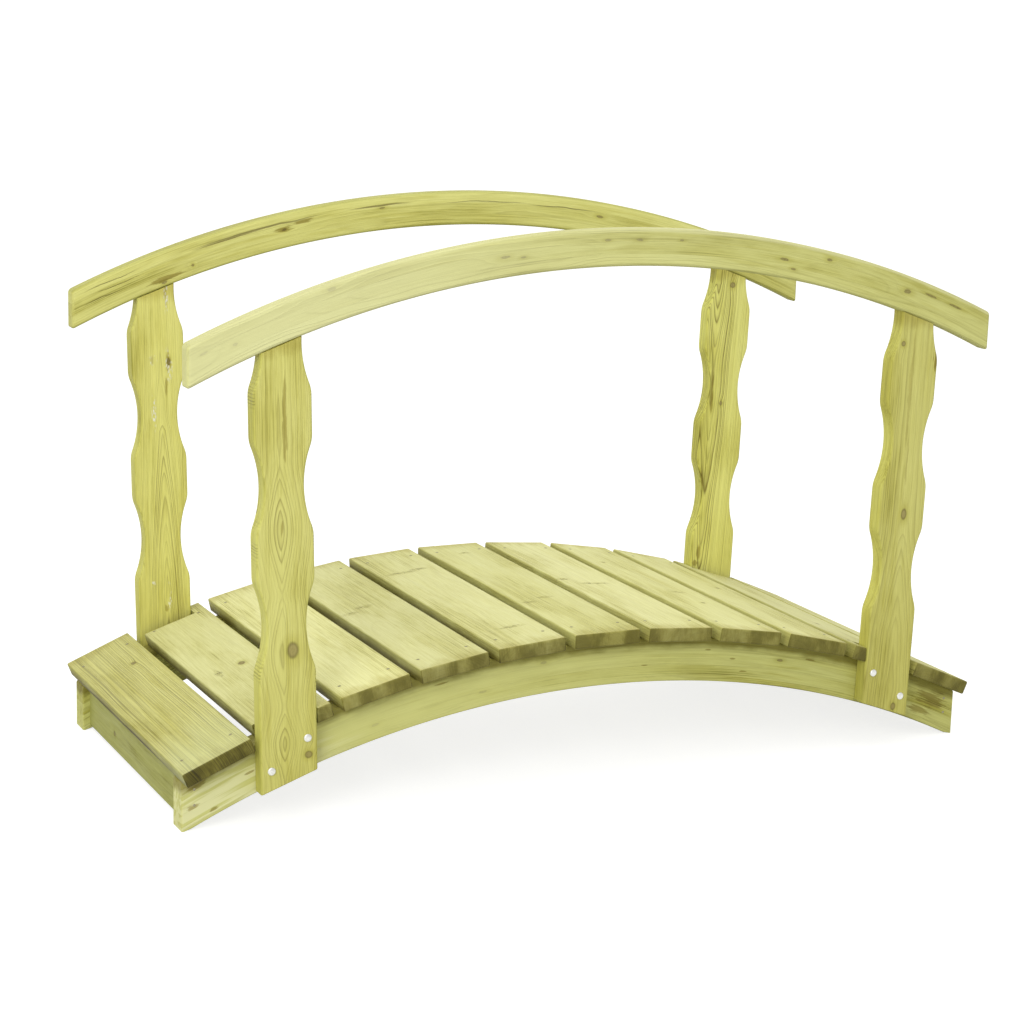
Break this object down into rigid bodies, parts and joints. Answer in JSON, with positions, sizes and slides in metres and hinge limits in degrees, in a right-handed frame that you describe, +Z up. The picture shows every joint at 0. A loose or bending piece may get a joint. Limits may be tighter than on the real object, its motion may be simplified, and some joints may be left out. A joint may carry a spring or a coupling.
{
  "type": "garden bridge",
  "caption": "Arched wooden garden bridge: bowed beams carry flat deck boards, and scalloped posts hold bowed handrails along both sides.",
  "frame": {"origin": "centre of the bridge's plan, at ground level under the feet", "axes": "+X along the bridge towards its back end, +Y to the left side, +Z up"},
  "size_m": [1.6982, 0.76, 1.076],
  "materials": {
    "beam_wood": "planed, pressure treated",
    "rail_wood": "planed, pressure treated",
    "post_wood": "planed, pressure treated",
    "riser_wood": "planed, pressure treated",
    "board_wood": "planed, pressure treated",
    "fastener_steel": "zinc plated"
  },
  "bodies": {
    "root": {"right_beam": "beam_wood", "left_beam": "beam_wood", "right_handrail": "rail_wood", "left_handrail": "rail_wood", "front_right_post": "post_wood", "back_right_post": "post_wood", "front_left_post": "post_wood", "back_left_post": "post_wood", "front_riser": "riser_wood", "back_riser": "riser_wood", "deck_board_01": "board_wood", "deck_board_02": "board_wood", "deck_board_03": "board_wood", "deck_board_04": "board_wood", "deck_board_05": "board_wood", "deck_board_06": "board_wood", "deck_board_07": "board_wood", "deck_board_08": "board_wood", "deck_board_09": "board_wood", "deck_board_10": "board_wood", "deck_board_11": "board_wood"}
  },
  "joints": []
}
